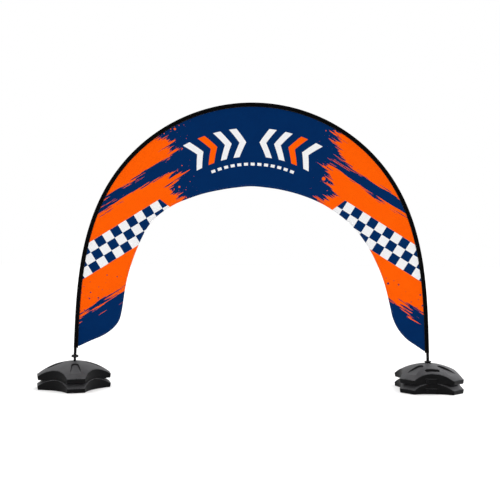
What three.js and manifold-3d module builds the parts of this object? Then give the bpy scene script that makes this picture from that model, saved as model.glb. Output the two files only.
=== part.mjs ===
// Arch flag banner: a cloth band on a sprung pole that stands in two stacks of water bases.
// Millimetres, +Z up, the arch in the XZ plane, its front towards -Y.
import * as THREE from 'three';
import { mergeVertices } from 'three/addons/utils/BufferGeometryUtils.js';
import Module from 'manifold-3d';

const wasm = await Module();
wasm.setup();

const { degToRad, lerp, clamp } = THREE.MathUtils;

// Clearance between pieces that meet
const GAP = 0.3;

// Pole line: an even bend over the crown that eases out to a straight lean at the feet
const ARCH_HEIGHT = 3000;
const BEND_RADIUS = 1750;
const BEND_TURN = degToRad(60);
const FOOT_LEAN = degToRad(2);
const EASE_TURN = Math.PI / 2 - BEND_TURN - FOOT_LEAN;
const BEND_LENGTH = BEND_RADIUS * BEND_TURN;
const EASE_LENGTH = 2 * BEND_RADIUS * EASE_TURN;
const LINE_STEPS = 400;
const STATION_STEP = 150;

// Pole, bored for a spindle's pin, and the strip of pocket cloth folded round it
const POLE_RADIUS = 15;
const POLE_SIDES = 8;
const PIN_RADIUS = 9;
const PIN_LENGTH = 110;
const BORE_RADIUS = (PIN_RADIUS + GAP) / Math.cos(Math.PI / POLE_SIDES);
const BORE_DEPTH = 120;
const SLEEVE_CLOTH = 1.5;
const SLEEVE_DEPTH = 29;
const TAIL_START = 20;

// Cloth band, measured from the pole's centre line; its hem is the turned edge
const CLOTH = 2;
const HEM_CLOTH = 3.2;
const HEM_WIDTH = 22;
const HEM_STEP = 2;
const CLOTH_EDGE = 18;
const FLAT_DEPTH = 32;
const BAND_INSET = 20;
const FOLD_SHARES = [0.25, 0.5, 0.75];
const CORNER_REACH = 380;
const CORNER_STEP = 38;

// Band's depth from the crown down each leg
const BAND_ROWS = [
  { along: 0, left: 864, right: 864 },
  { along: 400, left: 859, right: 860 },
  { along: 800, left: 823, right: 828 },
  { along: 1200, left: 757, right: 771 },
  { along: 1600, left: 661, right: 693 },
  { along: 2000, left: 573, right: 598 },
  { along: 2400, left: 531, right: 502 },
  { along: 2800, left: 491, right: 421 },
];

// Rounded lower corners of the band, measured up from each of its ends
const CORNER_ROWS = [
  { up: 460, left: 473, right: 371 },
  { up: 380, left: 465, right: 358 },
  { up: 300, left: 450, right: 333 },
  { up: 240, left: 418, right: 303 },
  { up: 180, left: 364, right: 262 },
  { up: 120, left: 281, right: 205 },
  { up: 60, left: 157, right: 123 },
  { up: 0, left: 40, right: 40 },
];

// Slack of the free edge: two uneven waves that grow from the sleeve inwards
const SLACK_WAVES = [
  { height: 8, length: 800, start: 0.6 },
  { height: 4, length: 470, start: -1.1 },
];
const SLACK_POWER = 1.6;
const SLACK_BLEND = 0.5;

// Water base: a dome with four arms, its sides scalloped between them
const ARM_REACH = 374;
const ARM_HALF_WIDTH = 92;
const ARM_CORNER = 10;
const SCALLOP_REACH = 277;
const SCALLOP_POINTS = 7;
const TIP_HEIGHT = 46;
const DOME_RISE = 131;
const DOME_RADIUS = (ARM_REACH ** 2 + DOME_RISE ** 2) / (2 * DOME_RISE);
const STACK_PITCH = 99;
const TIP_ROUND = 7;
const SCALLOP_ROUND = 10;
const WALL_DRAFT = 6;
const SHOULDER_ROWS = [
  { inward: 1, down: 0 },
  { inward: 0.3, down: 0.28 },
  { inward: 0, down: 1 },
];
const DOME_SHARES = [0.1, 0.38, 0.66];
const ARMS = 4;

// Moulded recess along each arm: deep at its round inner end, splayed and running out down the dome
const RECESS_START = 150;
const RECESS_END = 315;
const RECESS_HALF_WIDTH = 38;
const RECESS_MOUTH = 70;
const RECESS_DEPTH = 21;
const CUT_HEIGHT = 90;
const ROUND_SEGMENTS = 5;

// Slot moulded across the dome above one scallop, and the pad with the filler plug below it
const SLOT_REACH = 220;
const SLOT_LENGTH = 150;
const SLOT_WIDTH = 50;
const SLOT_DEPTH = 32;
const SLOT_TURN = -Math.PI / ARMS;
const PAD_WIDTH = 130;
const PAD_SIDEWAYS = -22;
const PAD_LOW = 6;
const PAD_HIGH = 56;
const PAD_INNER = 262;
const PAD_FACE = 285;
const PLUG_RADIUS = 13;
const PLUG_LENGTH = 9;
const PLUG_BEVEL = 2;
const PLUG_SIDEWAYS = -38;
const PLUG_SIDES = 14;

// Well sunk into the top of the dome, round the stem
const WELL_RIM = 38;
const WELL_FLOOR = 25;
const WELL_DEPTH = 9;

// Spindle: its pin stands in the pole, and below the collar its stem goes down into the bases
const STEM_RADIUS = 13.5;
const STEM_FOOT = 110;
const SPINDLE_SIDES = 16;

// Left and right feet; heights above the floor, the bases turned about their spindle
const FEET = [
  { name: 'left', side: -1, poleFoot: 338, sleeveFoot: 412, turn: degToRad(196), collar: 'flange' },
  { name: 'right', side: 1, poleFoot: 298, sleeveFoot: 385, turn: degToRad(-48), collar: 'cone' },
];

// Collar profiles: radius and depth below the pole's foot
const COLLARS = {
  flange: [
    { radius: 32, below: 0 },
    { radius: 36, below: 4 },
    { radius: 36, below: 20 },
    { radius: 32, below: 24 },
  ],
  cone: [
    { radius: 34, below: 0 },
    { radius: 36, below: 2 },
    { radius: 36, below: 8 },
    { radius: 24, below: 20 },
  ],
};

// Materials
function finish(color, roughness, metalness) {
  return new THREE.MeshStandardMaterial({ color, roughness, metalness });
}

const bandCloth = () => finish(0xf06a10, 0.8, 0);
const pocketCloth = () => finish(0x15161a, 0.85, 0);
const polePaint = () => finish(0x2e2f31, 0.45, 0.1);
const spindleSteel = () => finish(0xa8aaac, 0.35, 0.9);
const collarPlastic = () => finish(0x1c1d1f, 0.5, 0);
const basePlastic = () => finish(0x26272a, 0.55, 0);
const plugPlastic = () => finish(0x111214, 0.5, 0);

// Pole line
function heading(along) {
  const reach = Math.abs(along);
  const bent = Math.min(reach, BEND_LENGTH) / BEND_RADIUS;
  const eased = clamp((reach - BEND_LENGTH) / EASE_LENGTH, 0, 1);
  return Math.sign(along) * (bent + EASE_TURN * eased * (2 - eased));
}

function lineCentre(along) {
  const sleeveTop = POLE_RADIUS + GAP + SLEEVE_CLOTH;
  const centre = new THREE.Vector3(0, 0, ARCH_HEIGHT - sleeveTop);
  const step = along / LINE_STEPS;
  for (let k = 0; k < LINE_STEPS; k++) {
    const turned = heading((k + 0.5) * step);
    centre.x += step * Math.cos(turned);
    centre.z -= step * Math.sin(turned);
  }
  return centre;
}

const STRAIGHT_START = lineCentre(BEND_LENGTH + EASE_LENGTH);

// How far along the line its straight foot comes down to a height
function alongAtHeight(height) {
  return BEND_LENGTH + EASE_LENGTH + (STRAIGHT_START.z - height) / Math.cos(FOOT_LEAN);
}

// Turns a list of [depth inwards, offset to the back] pairs into points across the line
function crossSection(along, pairs) {
  const centre = lineCentre(along);
  const turned = heading(along);
  const inward = new THREE.Vector3(-Math.sin(turned), 0, -Math.cos(turned));
  return pairs.map(([depth, back]) => {
    const point = centre.clone().addScaledVector(inward, depth);
    point.y += back;
    return point;
  });
}

function evenSteps(from, to, step) {
  const count = Math.ceil(Math.abs(to - from) / step);
  return Array.from({ length: count + 1 }, (_, k) => lerp(from, to, k / count));
}

// Closed skin over a row of rings with equal counts; each end is closed across mirrored points
function loft(rings) {
  const count = rings[0].length;
  const last = (rings.length - 1) * count;
  const index = [];
  for (let r = 0; r + 1 < rings.length; r++) {
    for (let k = 0; k < count; k++) {
      const a = r * count + k;
      const b = r * count + ((k + 1) % count);
      index.push(a, b, b + count, a, b + count, a + count);
    }
  }
  for (let k = 0; k + 1 < count / 2; k++) {
    const mirrored = count - 1 - k;
    index.push(k, mirrored, mirrored - 1, k, mirrored - 1, k + 1);
    index.push(last + k, last + mirrored - 1, last + mirrored, last + k, last + k + 1, last + mirrored - 1);
  }
  const geometry = new THREE.BufferGeometry();
  const positions = rings.flat().flatMap((point) => point.toArray());
  geometry.setAttribute('position', new THREE.Float32BufferAttribute(positions, 3));
  geometry.setIndex(index);
  geometry.computeVertexNormals();
  return geometry;
}

// Joins and cuts
function toSolid(geometry) {
  const bare = geometry.clone();
  bare.deleteAttribute('normal');
  bare.deleteAttribute('uv');
  const merged = mergeVertices(bare);
  const vertProperties = merged.getAttribute('position').array;
  const triVerts = Uint32Array.from(merged.getIndex().array);
  return new wasm.Manifold(new wasm.Mesh({ numProp: 3, vertProperties, triVerts }));
}

function toGeometry(body) {
  const { vertProperties, triVerts } = body.getMesh();
  const geometry = new THREE.BufferGeometry();
  geometry.setAttribute('position', new THREE.BufferAttribute(vertProperties, 3));
  geometry.setIndex(new THREE.BufferAttribute(triVerts, 1));
  geometry.computeVertexNormals();
  return geometry;
}

function named(name, geometry, material) {
  const mesh = new THREE.Mesh(geometry, material);
  mesh.name = name;
  return mesh;
}

// Bent pole, bored at both feet for the spindles
function circlePairs(radius) {
  return Array.from({ length: POLE_SIDES }, (_, k) => {
    const angle = ((k + 0.5) * 2 * Math.PI) / POLE_SIDES;
    return [radius * Math.cos(angle), radius * Math.sin(angle)];
  });
}

const [leftFoot, rightFoot] = FEET;
const poleEnds = { from: -alongAtHeight(leftFoot.poleFoot), to: alongAtHeight(rightFoot.poleFoot) };
const sleeveEnds = { from: -alongAtHeight(leftFoot.sleeveFoot), to: alongAtHeight(rightFoot.sleeveFoot) };
const bandEnds = { from: sleeveEnds.from + BAND_INSET, to: sleeveEnds.to - BAND_INSET };

function sharedStations(ends) {
  const inner = evenSteps(sleeveEnds.from, sleeveEnds.to, STATION_STEP);
  const below = ends.from < sleeveEnds.from ? [ends.from] : [];
  const above = ends.to > sleeveEnds.to ? [ends.to] : [];
  return [...below, ...inner, ...above];
}

function polePiece() {
  const outer = circlePairs(POLE_RADIUS);
  const bore = circlePairs(BORE_RADIUS);
  const rings = [
    crossSection(poleEnds.from + BORE_DEPTH, bore),
    crossSection(poleEnds.from, bore),
    ...sharedStations(poleEnds).map((along) => crossSection(along, outer)),
    crossSection(poleEnds.to, bore),
    crossSection(poleEnds.to - BORE_DEPTH, bore),
  ];
  return named('arch_pole', loft(rings), polePaint());
}

// Sleeve: round the pole's outer side, its tails on both faces of the band
function sleevePiece() {
  const inside = POLE_RADIUS + GAP;
  const outside = inside + SLEEVE_CLOTH;
  const tailInside = CLOTH / 2 + GAP;
  const tailOutside = tailInside + SLEEVE_CLOTH;
  const section = [
    [SLEEVE_DEPTH, tailOutside],
    [TAIL_START, tailOutside],
    ...circlePairs(outside),
    [TAIL_START, -tailOutside],
    [SLEEVE_DEPTH, -tailOutside],
    [SLEEVE_DEPTH, -tailInside],
    [TAIL_START, -tailInside],
    ...circlePairs(inside).reverse(),
    [TAIL_START, tailInside],
    [SLEEVE_DEPTH, tailInside],
  ];
  const rings = sharedStations(sleeveEnds).map((along) => crossSection(along, section));
  return named('pole_sleeve', loft(rings), pocketCloth());
}

// Band of cloth
function bandTable(column, end) {
  const legs = BAND_ROWS.map((row) => ({ along: row.along, depth: row[column] }));
  const corner = CORNER_ROWS.map((row) => ({ along: end - row.up, depth: row[column] }));
  return [...legs, ...corner];
}

// Smooth curve through a table's rows, with level tangents at its ends
function smoothDepth(table, along) {
  const found = table.findIndex((row) => row.along >= along);
  const next = found < 0 ? table.length - 1 : Math.max(found, 1);
  const [before, a, b, after] = [next - 2, next - 1, next, next + 1].map(
    (k) => table[clamp(k, 0, table.length - 1)],
  );
  const span = b.along - a.along;
  const share = clamp((along - a.along) / span, 0, 1);
  const slopeA = next === 1 ? 0 : (b.depth - before.depth) / (b.along - before.along);
  const slopeB = (after.depth - a.depth) / (after.along - a.along);
  const [s2, s3] = [share ** 2, share ** 3];
  return (
    (2 * s3 - 3 * s2 + 1) * a.depth + (s3 - 2 * s2 + share) * span * slopeA +
    (3 * s2 - 2 * s3) * b.depth + (s3 - s2) * span * slopeB
  );
}

function slack(along, share) {
  const waves = SLACK_WAVES.map(
    (wave) => wave.height * Math.sin((2 * Math.PI * along) / wave.length + wave.start),
  );
  return share ** SLACK_POWER * waves.reduce((sum, height) => sum + height, 0);
}

function bandPiece() {
  const tables = {
    left: bandTable('left', -bandEnds.from),
    right: bandTable('right', bandEnds.to),
  };
  const stations = [
    ...evenSteps(bandEnds.from, bandEnds.from + CORNER_REACH, CORNER_STEP),
    ...evenSteps(bandEnds.from + CORNER_REACH, bandEnds.to - CORNER_REACH, STATION_STEP).slice(1, -1),
    ...evenSteps(bandEnds.to - CORNER_REACH, bandEnds.to, CORNER_STEP),
  ];
  const rings = stations.map((along) => {
    const table = along < 0 ? tables.left : tables.right;
    const depth = smoothDepth(table, Math.abs(along));
    const room = depth - FLAT_DEPTH;
    const hem = Math.min(HEM_WIDTH, room / 2);
    const columns = [
      { at: CLOTH_EDGE, half: CLOTH / 2 },
      { at: FLAT_DEPTH, half: CLOTH / 2 },
      ...FOLD_SHARES.map((share) => ({ at: lerp(FLAT_DEPTH, depth - hem, share), half: CLOTH / 2 })),
      { at: depth - hem, half: CLOTH / 2 },
      { at: depth - hem + Math.min(HEM_STEP, hem / 2), half: HEM_CLOTH / 2 },
      { at: depth, half: HEM_CLOTH / 2 },
    ];
    const slackDepth = lerp(depth, BAND_ROWS[0].left, SLACK_BLEND);
    const lean = ({ at }) => slack(along, Math.max(at - FLAT_DEPTH, 0) / slackDepth);
    const back = columns.map((column) => [column.at, lean(column) + column.half]);
    const front = columns.map((column) => [column.at, lean(column) - column.half]);
    return crossSection(along, [...front, ...back.reverse()]);
  });
  return named('flag_panel', loft(rings), bandCloth());
}

// Water base: the dome ends level along the end of each arm
function domeHeight(reach) {
  const within = Math.min(reach, ARM_REACH);
  return TIP_HEIGHT + DOME_RISE - (DOME_RADIUS - Math.sqrt(DOME_RADIUS ** 2 - within ** 2));
}

// One quarter: half of an arm's end, a rounded corner, the scallop and the next corner
function quarterOutline() {
  const side = ARM_REACH - ARM_CORNER;
  const cut = ARM_CORNER * (1 - Math.SQRT1_2);
  const along = (side + ARM_HALF_WIDTH) * Math.SQRT1_2;
  const across = (side - ARM_HALF_WIDTH) * Math.SQRT1_2;
  const centre = (along ** 2 + across ** 2 - SCALLOP_REACH ** 2) / (2 * (along - SCALLOP_REACH));
  const radius = centre - SCALLOP_REACH;
  const half = Math.asin(across / radius);
  const scallop = Array.from({ length: SCALLOP_POINTS }, (_, k) => {
    const angle = lerp(half, -half, k / (SCALLOP_POINTS - 1));
    const u = centre - radius * Math.cos(angle);
    const v = radius * Math.sin(angle);
    return new THREE.Vector2((u + v) * Math.SQRT1_2, (u - v) * Math.SQRT1_2);
  });
  return [
    new THREE.Vector2(ARM_REACH, ARM_HALF_WIDTH - ARM_CORNER),
    new THREE.Vector2(ARM_REACH - cut, ARM_HALF_WIDTH - cut),
    ...scallop,
    new THREE.Vector2(ARM_HALF_WIDTH - cut, ARM_REACH - cut),
    new THREE.Vector2(ARM_HALF_WIDTH - ARM_CORNER, ARM_REACH),
  ];
}

function baseOutline() {
  const quarter = quarterOutline();
  const origin = new THREE.Vector2();
  return Array.from({ length: ARMS }, (_, k) =>
    quarter.map((point) => point.clone().rotateAround(origin, (k * Math.PI) / 2)),
  ).flat();
}

// Dome with rounded shoulders; its walls draw in a little down to a flat foot
function domeBody() {
  const outline = baseOutline();
  const shoulder = (point) => {
    const outward = (point.length() - SCALLOP_REACH) / (ARM_REACH - SCALLOP_REACH);
    return lerp(SCALLOP_ROUND, TIP_ROUND, clamp(outward, 0, 1));
  };
  const ring = (reachOf, heightOf) =>
    outline.map((point) => {
      const at = point.clone().setLength(reachOf(point));
      return new THREE.Vector3(at.x, at.y, heightOf(at.length(), point));
    });
  const rings = [
    ...DOME_SHARES.map((share) => ring((point) => point.length() * share, domeHeight)),
    ...SHOULDER_ROWS.map(({ inward, down }) =>
      ring(
        (point) => point.length() - inward * shoulder(point),
        (reach, point) => domeHeight(reach) - down * shoulder(point),
      ),
    ),
    ring(
      (point) => point.length() - WALL_DRAFT,
      () => 0,
    ),
  ];
  return toSolid(loft(rings.reverse()));
}

// Profile of [radius, height] pairs turned about the upright axis
function lathed(profile) {
  const points = profile.map(([radius, height]) => new THREE.Vector2(radius, height));
  const geometry = new THREE.LatheGeometry(points, SPINDLE_SIDES);
  geometry.rotateX(Math.PI / 2);
  return geometry;
}

function upright(shape) {
  return new THREE.ExtrudeGeometry(shape, {
    depth: CUT_HEIGHT, bevelEnabled: false, curveSegments: ROUND_SEGMENTS,
  });
}

// Recess with upright sides, its floor sloping down to where the dome meets it
function armRecess(arm) {
  const length = ARM_REACH - RECESS_START;
  const low = domeHeight(RECESS_START) - RECESS_DEPTH;
  const slope = (domeHeight(RECESS_END) - low) / (RECESS_END - RECESS_START);
  const shape = new THREE.Shape();
  shape.absarc(0, 0, RECESS_HALF_WIDTH, Math.PI / 2, (3 * Math.PI) / 2);
  shape.lineTo(length, -RECESS_MOUTH);
  shape.lineTo(length, RECESS_MOUTH);
  const recess = upright(shape);
  recess.applyMatrix4(new THREE.Matrix4().makeShear(0, slope, 0, 0, 0, 0));
  recess.translate(RECESS_START, 0, low);
  recess.rotateZ((arm * 2 * Math.PI) / ARMS);
  return toSolid(recess);
}

function crossSlot() {
  const run = SLOT_LENGTH - SLOT_WIDTH;
  const shape = new THREE.Shape();
  shape.absarc(0, 0, SLOT_WIDTH / 2, Math.PI / 2, (3 * Math.PI) / 2);
  shape.absarc(run, 0, SLOT_WIDTH / 2, -Math.PI / 2, Math.PI / 2);
  const slot = upright(shape);
  slot.translate(-run / 2, 0, 0);
  slot.rotateZ(Math.PI / 2);
  slot.rotateY(Math.asin(SLOT_REACH / DOME_RADIUS));
  slot.translate(SLOT_REACH, 0, domeHeight(SLOT_REACH) - SLOT_DEPTH);
  slot.rotateZ(SLOT_TURN);
  return toSolid(slot);
}

// Its sides go on up at the same slope, clear of the dome
function stemWell() {
  const floor = domeHeight(0) - WELL_DEPTH;
  const profile = [
    [0, floor],
    [WELL_FLOOR, floor],
    [2 * WELL_RIM - WELL_FLOOR, floor + 2 * WELL_DEPTH],
    [0, floor + 2 * WELL_DEPTH],
  ];
  return toSolid(lathed(profile));
}

function plugPad() {
  const pad = new THREE.BoxGeometry(PAD_FACE - PAD_INNER, PAD_WIDTH, PAD_HIGH - PAD_LOW);
  pad.translate((PAD_INNER + PAD_FACE) / 2, PAD_SIDEWAYS, (PAD_LOW + PAD_HIGH) / 2);
  pad.rotateZ(SLOT_TURN);
  return toSolid(pad);
}

// Shape of every base before its spindle hole: nested underneath on the dome below
function mouldedBase() {
  const dome = domeBody();
  let body = dome.add(plugPad()).subtract(dome.translate([0, 0, GAP - STACK_PITCH]));
  for (let arm = 0; arm < ARMS; arm++) {
    body = body.subtract(armRecess(arm));
  }
  return body.subtract(crossSlot()).subtract(stemWell());
}

// Filler plug, turned about the pad's outward normal
function plugPiece(name) {
  const profile = [
    new THREE.Vector2(0, 0),
    new THREE.Vector2(PLUG_RADIUS, 0),
    new THREE.Vector2(PLUG_RADIUS, PLUG_LENGTH - PLUG_BEVEL),
    new THREE.Vector2(PLUG_RADIUS - PLUG_BEVEL, PLUG_LENGTH),
    new THREE.Vector2(0, PLUG_LENGTH),
  ];
  const geometry = new THREE.LatheGeometry(profile, PLUG_SIDES);
  geometry.rotateZ(-Math.PI / 2);
  geometry.translate(PAD_FACE + GAP, PAD_SIDEWAYS + PLUG_SIDEWAYS, (PAD_LOW + PAD_HIGH) / 2);
  geometry.rotateZ(SLOT_TURN);
  return named(name, geometry, plugPlastic());
}

// Spindle and collar stand on the pole's own lean, with the pole's foot at their origin
function collarHeight(foot) {
  return COLLARS[foot.collar].at(-1).below;
}

function stemLength(foot) {
  return (foot.poleFoot - STEM_FOOT) / Math.cos(FOOT_LEAN);
}

function spindlePiece(foot) {
  const shoulder = -collarHeight(foot) - 2 * GAP;
  const profile = [
    [0, -stemLength(foot)],
    [STEM_RADIUS, -stemLength(foot)],
    [STEM_RADIUS, shoulder],
    [PIN_RADIUS, shoulder],
    [PIN_RADIUS, PIN_LENGTH],
    [0, PIN_LENGTH],
  ];
  return named(`spindle_${foot.name}`, lathed(profile), spindleSteel());
}

function collarPiece(foot) {
  const hole = PIN_RADIUS + GAP;
  const rows = COLLARS[foot.collar].map(({ radius, below }) => [radius, -below - GAP]).reverse();
  const [bottom] = rows;
  const top = rows.at(-1);
  const profile = [[hole, bottom[1]], ...rows, [hole, top[1]], [hole, bottom[1]]];
  return named(`collar_${foot.name}`, lathed(profile), collarPlastic());
}

// Hole that the stem takes up in a base, in that base's own frame
function stemHole(fitting, stack, lift) {
  const length = fitting.stem + GAP;
  const hole = new THREE.CylinderGeometry(STEM_RADIUS + GAP, STEM_RADIUS + GAP, length, SPINDLE_SIDES);
  hole.rotateX(Math.PI / 2);
  hole.translate(0, 0, -length / 2);
  hole.applyMatrix4(fitting.group.matrix);
  const toStack = new THREE.Matrix4().makeRotationZ(-stack.rotation.z);
  hole.translate(-stack.position.x, 0, 0);
  hole.applyMatrix4(toStack);
  hole.translate(0, 0, -lift);
  return toSolid(hole);
}

// One foot: spindle and collar under the pole, and the two stacked bases
function footPieces(foot, mould) {
  const centre = lineCentre(foot.side * alongAtHeight(foot.poleFoot));
  const fittings = new THREE.Group();
  fittings.position.copy(centre);
  fittings.rotation.y = -foot.side * FOOT_LEAN;
  fittings.updateMatrix();
  fittings.add(spindlePiece(foot), collarPiece(foot));
  const stack = new THREE.Group();
  const drop = foot.poleFoot - STACK_PITCH;
  stack.position.x = centre.x + foot.side * drop * Math.tan(FOOT_LEAN);
  stack.rotation.z = foot.turn;
  const levels = [
    { name: 'lower', lift: 0 },
    { name: 'upper', lift: STACK_PITCH },
  ];
  for (const { name, lift } of levels) {
    const hole = stemHole({ group: fittings, stem: stemLength(foot) }, stack, lift);
    const base = named(`base_${name}_${foot.name}`, toGeometry(mould.subtract(hole)), basePlastic());
    const plug = plugPiece(`plug_${name}_${foot.name}`);
    base.position.z = lift;
    plug.position.z = lift;
    stack.add(base, plug);
  }
  return [fittings, stack];
}

// The whole banner, set with its box's bottom centre at the origin
const banner = new THREE.Group();
const mould = mouldedBase();
banner.add(polePiece(), sleevePiece(), bandPiece());
for (const foot of FEET) {
  banner.add(...footPieces(foot, mould));
}
banner.updateMatrixWorld(true);
const middle = new THREE.Box3().setFromObject(banner, true).getCenter(new THREE.Vector3());
banner.position.set(-middle.x, -middle.y, 0);

export default banner;
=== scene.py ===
import math

import bmesh
import bpy
import numpy as np
from mathutils import Euler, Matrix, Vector


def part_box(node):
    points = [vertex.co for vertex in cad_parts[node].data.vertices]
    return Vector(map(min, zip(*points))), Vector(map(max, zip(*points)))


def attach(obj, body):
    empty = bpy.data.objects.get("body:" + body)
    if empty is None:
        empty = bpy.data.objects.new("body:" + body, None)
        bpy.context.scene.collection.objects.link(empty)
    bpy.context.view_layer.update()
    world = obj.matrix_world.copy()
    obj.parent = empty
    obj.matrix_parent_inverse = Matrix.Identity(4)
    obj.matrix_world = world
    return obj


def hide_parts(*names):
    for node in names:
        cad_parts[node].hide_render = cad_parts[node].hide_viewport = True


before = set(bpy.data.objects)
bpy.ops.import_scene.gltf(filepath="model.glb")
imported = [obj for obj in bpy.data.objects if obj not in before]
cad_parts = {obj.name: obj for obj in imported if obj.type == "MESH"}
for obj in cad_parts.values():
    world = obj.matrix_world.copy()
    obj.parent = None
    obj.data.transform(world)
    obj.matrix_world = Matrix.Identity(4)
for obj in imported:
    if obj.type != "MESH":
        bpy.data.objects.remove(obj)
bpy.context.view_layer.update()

# Water bases: blow-moulded shells of black polyethylene, two stacked under each foot of the pole.
# Each is a low dome with four arms and scalloped sides, a recess sunk into every arm, a well round the
# stem, one cross slot and a pad for the filler plug; the upper shell nests on the dome of the lower one.
ARMS = 4
ARM_REACH = 0.374
ARM_HALF_WIDTH = 0.092
ARM_CORNER = 0.010
SCALLOP_REACH = 0.277
TIP_HEIGHT = 0.046
DOME_RISE = 0.131
DOME_RADIUS = (ARM_REACH**2 + DOME_RISE**2) / (2 * DOME_RISE)
TIP_ROUND = 0.007
SCALLOP_ROUND = 0.010
WALL_DRAFT = 0.006
FOOT_ROUND = 0.0025
FOOT_ROUND_HEIGHT = 0.003
FOOT_ROUND_MIDDLE = 0.0008
STEM_HOLE = 0.0142
STACK_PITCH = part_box("base_upper_left")[0].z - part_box("base_lower_left")[0].z
NEST_GAP = 0.0005
NEST_DROP = STACK_PITCH - NEST_GAP
FOOT_LEAN = math.radians(2)
BASE_TURNS = {"left": math.radians(196), "right": math.radians(-48)}
SIDES = {"left": -1, "right": 1}
STACK_LEVELS = ("lower", "upper")

RECESS_START = 0.150
RECESS_END = 0.315
RECESS_HALF_WIDTH = 0.038
RECESS_MOUTH = 0.070
RECESS_SPLAY = (RECESS_MOUTH - RECESS_HALF_WIDTH) / (ARM_REACH - RECESS_START)
RECESS_DEPTH = 0.021
SLOT_REACH = 0.220
SLOT_RUN = 0.100
SLOT_HALF_WIDTH = 0.025
SLOT_DEPTH = 0.032
SLOT_TURN = -math.pi / ARMS
SUNK_WALL = 0.008
WELL_RIM = 0.038
WELL_FLOOR = 0.025
WELL_DEPTH = 0.009
LIP_HEIGHT = 0.0016
LIP_WIDTH = 0.004
RUBBED_DROP = 0.004

PAD_HALF_WIDTH = 0.065
PAD_SIDEWAYS = -0.022
PAD_LOW = 0.006
PAD_HIGH = 0.056
PAD_FACE = 0.285
PAD_EDGE = 0.001
PAD_BLEND_START = PAD_HALF_WIDTH + 0.005
PAD_BLEND_END = PAD_HALF_WIDTH + 0.045
SEAM_HEIGHT = 0.018
SEAM_HALF = 0.0015
SEAM_PROUD = 0.0008

END_STEPS = 24
CORNER_STEPS = 7
SCALLOP_STEPS = 32
DOME_ROWS = 114
SHOULDER_ROWS = 5
UNDER_ROWS = 18

# Rows of the wall: shares of its height above the seam, two of them at the pad's upper edge, then low levels
ABOVE_PAD = 0.66
BELOW_PAD = 0.62
WALL_SHARES = (0.83, ABOVE_PAD, BELOW_PAD, 0.4, 0.2, 0)
SEAM_LEVELS = (SEAM_HEIGHT, SEAM_HEIGHT - SEAM_HALF)
PAD_LEVELS = (PAD_LOW + PAD_EDGE, PAD_LOW - PAD_EDGE)
FOOT_LEVELS = (FOOT_ROUND_HEIGHT, FOOT_ROUND_MIDDLE, 0)


def soft_step(low, high, value):
    """0 below low, 1 above high, eased between."""
    share = np.clip((value - low) / (high - low), 0, 1)
    return share * share * (3 - 2 * share)


def base_rim():
    """Rim of a base in plan, as complex numbers, once round its four arms."""
    side = ARM_REACH - ARM_CORNER
    straight = ARM_HALF_WIDTH - ARM_CORNER
    end = ARM_REACH + 1j * np.linspace(0, straight, END_STEPS, endpoint=False)
    bend = np.linspace(0, np.pi / 2, CORNER_STEPS, endpoint=False)
    corner = complex(side, straight) + ARM_CORNER * np.exp(1j * bend)
    diagonal = np.exp(0.25j * np.pi)
    along = (side + ARM_HALF_WIDTH) * math.sqrt(0.5)
    across = (side - ARM_HALF_WIDTH) * math.sqrt(0.5)
    centre = (along**2 + across**2 - SCALLOP_REACH**2) / (2 * (along - SCALLOP_REACH))
    radius = centre - SCALLOP_REACH
    swing = np.linspace(math.asin(across / radius), 0, SCALLOP_STEPS, endpoint=False)
    inward = (centre - radius * np.cos(swing)) * diagonal
    scallop = inward + radius * np.sin(swing) * np.conj(diagonal)
    half = np.concatenate([end, corner, scallop])
    mirrored = 1j * np.conj(half[:0:-1])
    quarter = np.concatenate([half, [SCALLOP_REACH * diagonal], mirrored])
    return np.concatenate([quarter * 1j**arm for arm in range(ARMS)])


def dome(reach):
    """Height of the dome, which ends level along the end of each arm."""
    within = np.minimum(reach, ARM_REACH)
    return TIP_HEIGHT + DOME_RISE - DOME_RADIUS + np.sqrt(DOME_RADIUS**2 - within**2)


def sunk(plan):
    """Height of the dome with its well, recesses and slot sunk in, and how near each point is to a rim."""
    reach = np.abs(plan)
    height = dome(reach) - WELL_DEPTH * (1 - soft_step(WELL_FLOOR, WELL_RIM, reach))
    near = np.exp(-(((reach - WELL_RIM) / LIP_WIDTH) ** 2))
    low = dome(RECESS_START) - RECESS_DEPTH
    fall = (low - dome(RECESS_END)) / (RECESS_END - RECESS_START)
    for arm in range(ARMS):
        at = plan * (-1j) ** arm - RECESS_START
        half = RECESS_HALF_WIDTH + RECESS_SPLAY * np.maximum(at.real, 0)
        inside = half - np.abs(np.minimum(at.real, 0) + 1j * at.imag)
        drop = np.maximum(height - low + at.real * fall, 0)
        height = height - soft_step(0, SUNK_WALL, inside) * drop
        near = np.maximum(near, np.exp(-((inside / LIP_WIDTH) ** 2)) * soft_step(0, RUBBED_DROP, drop))
    at = plan * np.exp(-1j * SLOT_TURN) - SLOT_REACH
    inside = SLOT_HALF_WIDTH - np.abs(at.real + 1j * np.maximum(np.abs(at.imag) - SLOT_RUN / 2, 0))
    floor = dome(SLOT_REACH) - SLOT_DEPTH - at.real * math.tan(math.asin(SLOT_REACH / DOME_RADIUS))
    lip = np.exp(-(((inside + LIP_WIDTH) / LIP_WIDTH) ** 2))
    height = height - soft_step(0, SUNK_WALL, inside) * np.maximum(height - floor, 0)
    return height + LIP_HEIGHT * lip, np.maximum(near, lip)


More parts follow.
